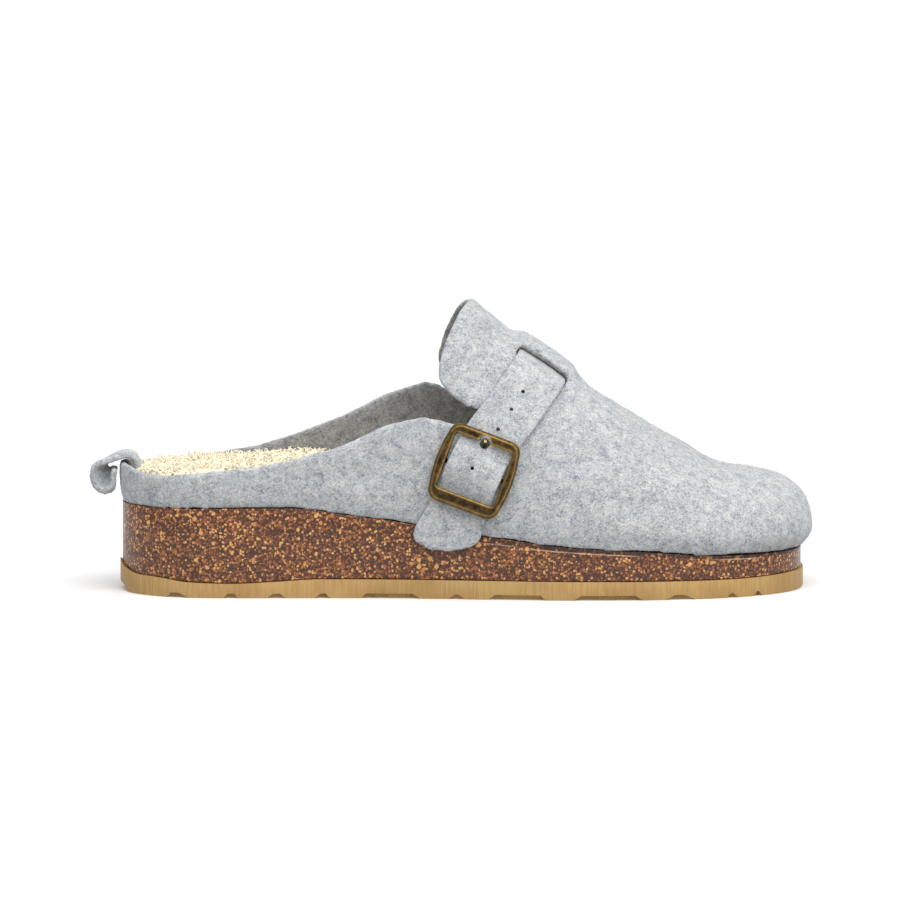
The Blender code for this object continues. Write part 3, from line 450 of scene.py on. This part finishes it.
# a crease is a dip along a path in metres, with a soft ridge beside it
creases = (
    # path, depth, width
    (((0.101, -0.030, 0.050), (0.103, 0.0, 0.056), (0.101, 0.030, 0.050)), 0.6 * mm, 8 * mm),
    (((0.060, -0.048, 0.040), (0.078, -0.045, 0.034), (0.094, -0.040, 0.033)), 0.5 * mm, 5 * mm),
    (((0.030, -0.046, 0.046), (0.046, -0.044, 0.052), (0.060, -0.036, 0.056)), 0.5 * mm, 5 * mm),
    (((-0.040, -0.042, 0.046), (-0.022, -0.043, 0.050), (-0.012, -0.044, 0.052)), 0.4 * mm, 4 * mm),
    (((0.046, -0.022, 0.080), (0.058, -0.030, 0.068), (0.066, -0.036, 0.058)), 0.5 * mm, 5 * mm),
    (((0.052, 0.040, 0.040), (0.072, 0.046, 0.036), (0.090, 0.044, 0.033)), 0.5 * mm, 5 * mm),
    (((0.030, 0.036, 0.052), (0.046, 0.036, 0.056), (0.060, 0.030, 0.060)), 0.5 * mm, 5 * mm),
)

upper = copyNode("upper", "feltUpper")
refine(upper, upperSizes["voxel"], upperSizes["smoothing"])
points, normals = readPoints(upper.data), readNormals(upper.data)
move = upperSizes["lumpHeight"] * noiseAt(points, upperSizes["lumpSize"], 3.1)
move += upperSizes["grainHeight"] * noiseAt(points, upperSizes["grainSize"], 8.4)
for path, depth, width in creases:
    away = distanceToPath(points, path) / width
    move -= depth * np.exp(-away**2)
    move += upperSizes["ridgeShare"] * depth * np.exp(-((away - upperSizes["ridgeAway"]) ** 2))
points += normals * move[:, None]
# the lower edge lies straight along the cork
above = points[:, 2] - rimHeight(points)
edge = np.clip(1 - above / upperSizes["edgeBlend"], 0, 1)
points[:, 2] -= edge * (above + upperSizes["settle"])
writePoints(upper.data, points)
lineFrom, lineTo, lineHeight = upperSizes["insideLine"]
fromLine = points - np.array([0, 0, lineHeight])
fromLine[:, 0] -= np.clip(points[:, 0], lineFrom, lineTo)
outward = (fromLine * normals).sum(axis=1) / np.linalg.norm(fromLine, axis=1)
storeValue(upper.data, "inside", np.clip(0.5 - 3 * outward, 0, 1))
finishPiece(upper, upperFelt, ["upper"], 70)

# loose hairs that stand off the felt
fuzz = {
    "count": 9000,
    "length": (0.9 * mm, 2.4 * mm),
    "radius": 0.035 * mm,
    "taper": (1.0, 0.8, 0.3),
    "lean": 0.8,
    "bend": 0.9,
    "rootDepth": 0.2 * mm,
}
rng = np.random.default_rng(11)
roots, outs = surfaceSamples(upper.data, fuzz["count"], rng, outward > 0.2)
lengths = rng.uniform(*fuzz["length"], fuzz["count"])
lean = rng.normal(0, fuzz["lean"], (fuzz["count"], 3))
first = outs + lean
first /= np.linalg.norm(first, axis=1)[:, None]
second = first + rng.normal(0, fuzz["bend"], (fuzz["count"], 3))
second /= np.linalg.norm(second, axis=1)[:, None]
half = lengths[:, None] / 2
paths = np.stack(
    [roots - outs * fuzz["rootDepth"], roots + first * half, roots + first * half + second * half], axis=1
)
radii = fuzz["radius"] * np.array(fuzz["taper"])[None, :] * np.ones((fuzz["count"], 1))
hairs = strandMesh("feltHairs", paths, radii, 3, rng.random(fuzz["count"]))
finishPiece(hairs, looseHair, [], 180)

# strap with its row of punched holes
strapSizes = {
    "voxel": 0.85 * mm,
    "smoothing": 3,
    "lumpHeight": 0.12 * mm,
    "lumpSize": 6 * mm,
    "holeRadius": 0.75 * mm,
    "punchDepth": 30 * mm,
    "punchMiddle": -0.040,
    "punchTilt": math.radians(70),  # the strap leans in over the instep
}
# hole centres along the strap as seen from the side: x and z in metres
strapHoles = ((0.0273, 0.0810), (0.0229, 0.0731), (0.0178, 0.0646), (0.0080, 0.0479))
strap = copyNode("strap", "feltStrap")
refine(strap, strapSizes["voxel"], strapSizes["smoothing"])
for x, z in strapHoles:
    deselectAll()
    bpy.ops.mesh.primitive_cylinder_add(
        vertices=16, radius=strapSizes["holeRadius"], depth=strapSizes["punchDepth"],
        location=(x, strapSizes["punchMiddle"], z), rotation=(strapSizes["punchTilt"], 0, 0),
    )
    punch = bpy.context.object
    applyModifier(strap, "BOOLEAN", operation="DIFFERENCE", solver="EXACT", object=punch)
    bpy.data.objects.remove(punch, do_unlink=True)
points, normals = readPoints(strap.data), readNormals(strap.data)
move = strapSizes["lumpHeight"] * noiseAt(points, strapSizes["lumpSize"], 5.2)
writePoints(strap.data, points + normals * move[:, None])
finishPiece(strap, strapFelt, ["strap"], 50)

# pull loop and buckle keeper
loopSizes = {"voxel": 0.7 * mm, "smoothing": 3}
loop = copyNode("pull_loop", "feltPullLoop")
refine(loop, loopSizes["voxel"], loopSizes["smoothing"])
finishPiece(loop, strapFelt, ["pull_loop"], 60)
keeper = copyNode("buckle_tab", "feltKeeper")
finishPiece(keeper, strapFelt, ["buckle_tab"], 40)

# outsole: moulded tan rubber scored by the trimming wheel, so its side has fine upright lines and a dull shine
rubberLook = {
    "dark": "#A48049",
    "base": "#B18C54",
    "light": "#BC985E",
    "scoring": 0.55 * mm,
    "scoringDepth": 0.12 * mm,
    "scoringStretch": 0.05,
    "clouds": 0.06 / mm,  # waves to a millimetre
    "cloudShare": 0.8,
    "ribPitch": 3.0 * mm,
    "ribDepth": 0.5 * mm,
    "wavePeriod": 0.314,  # of Blender's wave texture at scale 1
}


def rubberMaterial():
    made, tree, shader = newMaterial("tan sole rubber, trimmed edge")
    place = objectPlace(tree)
    upright = addNode(
        tree, "ShaderNodeMapping", None, {"Scale": (1.0, 1.0, rubberLook["scoringStretch"])}, {"Vector": place}
    )
    scoring = addNoise(tree, upright.outputs[0], 1 / rubberLook["scoring"], 3.0, 0.6)
    cloud = addNoise(tree, place, rubberLook["clouds"], 3.0)
    total = addMath(tree, "MULTIPLY_ADD", cloud, rubberLook["cloudShare"], scoring)
    colour = addRamp(
        tree, total, ((0.62, rubberLook["dark"]), (0.88, rubberLook["base"]), (1.0, rubberLook["light"]))
    )
    scored = addBump(tree, scoring, 0.25, rubberLook["scoringDepth"])
    # fine ribs on the ground side only
    ribs = addNode(
        tree, "ShaderNodeTexWave", {"wave_type": "BANDS", "bands_direction": "X", "wave_profile": "SIN"},
        {"Scale": rubberLook["wavePeriod"] / rubberLook["ribPitch"], "Distortion": 0.0}, {"Vector": place},
    )
    ribHeight = addMath(tree, "MULTIPLY", ribs.outputs["Fac"], readValue(tree, "underside"))
    normal = addBump(tree, ribHeight, 0.8, rubberLook["ribDepth"], scored)
    fillNode(tree, shader, {"Roughness": 0.55}, {"Base Color": colour, "Normal": normal})
    return made


soleRubber = rubberMaterial()
outsoleSizes = {"bevel": 0.35 * mm, "facingDown": -0.6}
outsole = copyNode("outsole", "rubberOutsole")
bevelSharpEdges(outsole, outsoleSizes["bevel"], 2, 25)
isUnder = readNormals(outsole.data)[:, 2] < outsoleSizes["facingDown"]
storeValue(outsole.data, "underside", isUnder.astype(float))
finishPiece(outsole, soleRubber, ["outsole"], 35)

# fleece insole: cream wool in curled locks with paler tips, so it looks deep and springy
fleeceLook = {
    "deep": "#EAD5A0",
    "middle": "#F4E6C2",
    "tip": "#FAF2DC",
    "fibres": 0.9 / mm,  # waves to a millimetre
    "fibreShare": 0.35,
    "fibreRelief": 0.3 * mm,
}
fleeceSizes = {
    "voxel": 2.1 * mm,
    "tuftSize": 5.0 * mm,
    "tuftHeight": 1.3 * mm,
    "tuftContrast": 1.6,
    "edgeSwell": 1.4 * mm,
    "swellFrom": 4 * mm,  # above the cork's rim
    "locks": 6300,
    "lockLength": (2.4 * mm, 4.4 * mm),
    "lockRadius": 0.62 * mm,
    "lockTaper": 0.8,
    "lockRise": 0.62,  # share of a lock's length that it stands up, as the rest goes into its curl
    "rootDepth": 0.6 * mm,
    "curlRadius": 0.75 * mm,
    "curlOpening": 0.7,
    "curlTurns": (0.7, 1.6),
    "lockSteps": 5,
}


def fleeceMaterial():
    made, tree, shader = newMaterial("curled wool fleece, cream")
    fibre = addNoise(tree, objectPlace(tree), fleeceLook["fibres"], 3.0, distortion=2.0)
    total = addMath(tree, "MULTIPLY_ADD", fibre, fleeceLook["fibreShare"], readValue(tree, "shade"))
    stops = ((0.1, fleeceLook["deep"]), (0.5, fleeceLook["middle"]), (1.0, fleeceLook["tip"]))
    fillNode(
        tree, shader, {"Roughness": 0.95, "Sheen Weight": 0.3},
        {"Base Color": addRamp(tree, total, stops), "Normal": addBump(tree, fibre, 0.3, fleeceLook["fibreRelief"])},
    )
    return made


curledFleece = fleeceMaterial()
insole = copyNode("insole", "fleeceInsole")
refine(insole, fleeceSizes["voxel"], 2)
points, normals = readPoints(insole.data), readNormals(insole.data)
isTop = np.clip(normals[:, 2] * 2, 0, 1)
tufts = np.array([noise.voronoi(Vector(p) / fleeceSizes["tuftSize"])[0][0] for p in points])
move = isTop * fleeceSizes["tuftHeight"] * (0.5 - tufts) * fleeceSizes["tuftContrast"]
# the pile swells against the felt wall
sideways = np.clip(1 - np.abs(normals[:, 2]) * 1.5, 0, 1)
overRim = points[:, 2] > rimHeight(points) + fleeceSizes["swellFrom"]
move += fleeceSizes["edgeSwell"] * sideways * overRim
writePoints(insole.data, points + normals * move[:, None])
# the base is darker and yellower in the hollows between the tufts
storeValue(insole.data, "shade", np.clip(0.55 + 0.2 * (0.6 - tufts), 0, 1))
rng = np.random.default_rng(23)
count, steps = fleeceSizes["locks"], fleeceSizes["lockSteps"]
roots, outs = surfaceSamples(insole.data, count, rng, normals[:, 2] > 0.25)
lengths = rng.uniform(*fleeceSizes["lockLength"], count)
lean = outs * 0.8 + np.array([0, 0, 0.2]) + rng.normal(0, 0.7, (count, 3))
lean /= np.linalg.norm(lean, axis=1)[:, None]
aside = np.cross(lean, rng.normal(0, 1, (count, 3)))
aside /= np.linalg.norm(aside, axis=1)[:, None]
across = np.cross(lean, aside)
turns = rng.uniform(*fleeceSizes["curlTurns"], count) * 2 * np.pi * rng.choice([-1, 1], count)
shares = np.linspace(0, 1, steps)
spin = turns[:, None] * shares[None, :]
curl = fleeceSizes["curlRadius"] * shares[None, :] ** fleeceSizes["curlOpening"]
rise = lengths[:, None] * shares[None, :] * fleeceSizes["lockRise"]
paths = (
    roots[:, None, :]
    - lean[:, None, :] * fleeceSizes["rootDepth"]
    + lean[:, None, :] * rise[:, :, None]
    + aside[:, None, :] * (curl * np.cos(spin))[:, :, None]
    + across[:, None, :] * (curl * np.sin(spin))[:, :, None]
)
taper = 1 - fleeceSizes["lockTaper"] * shares**2
radii = fleeceSizes["lockRadius"] * taper[None, :] * rng.uniform(0.7, 1.2, (count, 1))
locks = strandMesh("fleeceLocks", paths, radii, 3, rng.uniform(0.5, 0.85, count))
activate(insole)
locks.select_set(True)
bpy.ops.object.join()
finishPiece(insole, curledFleece, ["insole"], 180)

# buckle: cast brass blackened and then rubbed, so bright worn edges stand out from dark hollows
brassLook = {
    "patina": "#2C2216",
    "middle": "#6E5832",
    "rubbed": "#B0925A",
    "clouds": 0.38 / mm,  # waves to a millimetre
    "cloudShare": 0.55,
}


def brassMaterial():
    made, tree, shader = newMaterial("antiqued cast brass")
    cloud = addNoise(tree, objectPlace(tree), brassLook["clouds"], 4.0, 0.7)
    total = addMath(tree, "MULTIPLY_ADD", cloud, brassLook["cloudShare"], readValue(tree, "wear"))
    stops = ((0.23, brassLook["patina"]), (0.43, brassLook["middle"]), (0.95, brassLook["rubbed"]))
    roughness = addRamp(tree, total, ((0.25, 0.42), (0.85, 0.22)))
    fillNode(
        tree, shader, {"Metallic": 0.9}, {"Base Color": addRamp(tree, total, stops), "Roughness": roughness}
    )
    return made


def storeWear(mesh, size):
    shape = bmesh.new()
    shape.from_mesh(mesh)
    wear = np.zeros(len(shape.verts))
    for i, vert in enumerate(shape.verts):
        around = [edge.other_vert(vert).co for edge in vert.link_edges]
        middle = sum(around, Vector()) / len(around)
        wear[i] = (vert.co - middle).dot(vert.normal) / size
    for _ in range(2):
        spread = [sum(wear[edge.other_vert(vert).index] for edge in vert.link_edges) for vert in shape.verts]
        wear = np.array([(w + s) / (1 + len(v.link_edges)) for w, s, v in zip(wear, spread, shape.verts)])
    shape.free()
    storeValue(mesh, "wear", np.clip(wear, 0, 1))


antiqueBrass = brassMaterial()
brassPieces = (
    # node, piece, voxel, how soft an edge still wears, in voxels
    ("buckle_frame", "brassFrame", 0.30 * mm, 0.20),
    ("buckle_prong", "brassProng", 0.18 * mm, 0.05),
)
for nodeName, pieceName, voxel, wearReach in brassPieces:
    brass = copyNode(nodeName, pieceName)
    refine(brass, voxel, 2)
    storeWear(brass.data, wearReach * voxel)
    finishPiece(brass, antiqueBrass, [nodeName], 60)

# floor and light: a matt white floor under one wide soft light, so that shadows stay short and pale
studio = {
    "floorColour": "#F6F6F6",
    "floorSize": 60,
    "worldStrength": 0.60,
    "skyStrength": 2.55,  # a wide overhead softbox, as far off as the sky, so the whole floor is even
    "skySpread": 75.0,
    "skyDirection": (0.25, -0.55, 1.0),
    "fillPower": 2.0,
    "fillSize": 0.9,
    "fillPlace": (0.5, -1.3, 0.7),
    "fillAim": (0, 0, 0.04),
}
deselectAll()
bpy.ops.mesh.primitive_plane_add(size=studio["floorSize"], location=(0, 0, 0))
floor = bpy.context.object
floor.name = "studioFloor"
floorPaint, floorTree, floorShader = newMaterial("matt white floor")
floorValues = {"Base Color": toLinear(studio["floorColour"]), "Roughness": 0.9, "Specular IOR Level": 0.1}
fillNode(floorTree, floorShader, floorValues, {})
floor.data.materials.append(floorPaint)
floor.visible_diffuse = False  # the picture's floor throws little light up on the clog

world = bpy.data.worlds.new("soft white studio")
bpy.context.scene.world = world
world.use_nodes = True
background = world.node_tree.nodes["Background"]
fillNode(world.node_tree, background, {"Color": (1, 1, 1, 1), "Strength": studio["worldStrength"]}, {})


def hold(name, data):
    holder = bpy.data.objects.new(name, data)
    bpy.context.scene.collection.objects.link(holder)
    return holder


fill = bpy.data.lights.new("fillLight", "AREA")
fill.shape = "DISK"
fill.size = studio["fillSize"]
fill.energy = studio["fillPower"]
fillHolder = hold("fillLight", fill)
fillHolder.location = studio["fillPlace"]
fillAim = Vector(studio["fillAim"]) - Vector(studio["fillPlace"])
fillHolder.rotation_euler = fillAim.to_track_quat("-Z", "Y").to_euler()
sky = bpy.data.lights.new("overheadLight", "SUN")
sky.energy = studio["skyStrength"]
sky.angle = math.radians(studio["skySpread"])
skyHolder = hold("overheadLight", sky)
skyHolder.rotation_euler = Vector(studio["skyDirection"]).to_track_quat("Z", "Y").to_euler()

# camera at the photo's angle
view = {
    "cameraElevation": 6.5,  # degrees above the floor
    "cameraDistance": 6.0,
    "frameWidth": 0.3452,  # what the square picture spans at the clog, in metres
    "lookAt": (-0.0005, 0.0, 0.0525),
    "sensorWidth": 36,
    "clipEnd": 60,
}
camera = hold("camera", bpy.data.cameras.new("camera"))
tilt = math.radians(view["cameraElevation"])
target = Vector(view["lookAt"])
camera.location = target + Vector((0, -math.cos(tilt), math.sin(tilt))) * view["cameraDistance"]
camera.rotation_euler = (target - camera.location).to_track_quat("-Z", "Y").to_euler()
camera.data.sensor_width = view["sensorWidth"]
camera.data.lens = view["sensorWidth"] * view["cameraDistance"] / view["frameWidth"]
camera.data.clip_end = view["clipEnd"]
bpy.context.scene.camera = camera
bpy.context.scene.view_settings.view_transform = "Standard"

print("scene ready")
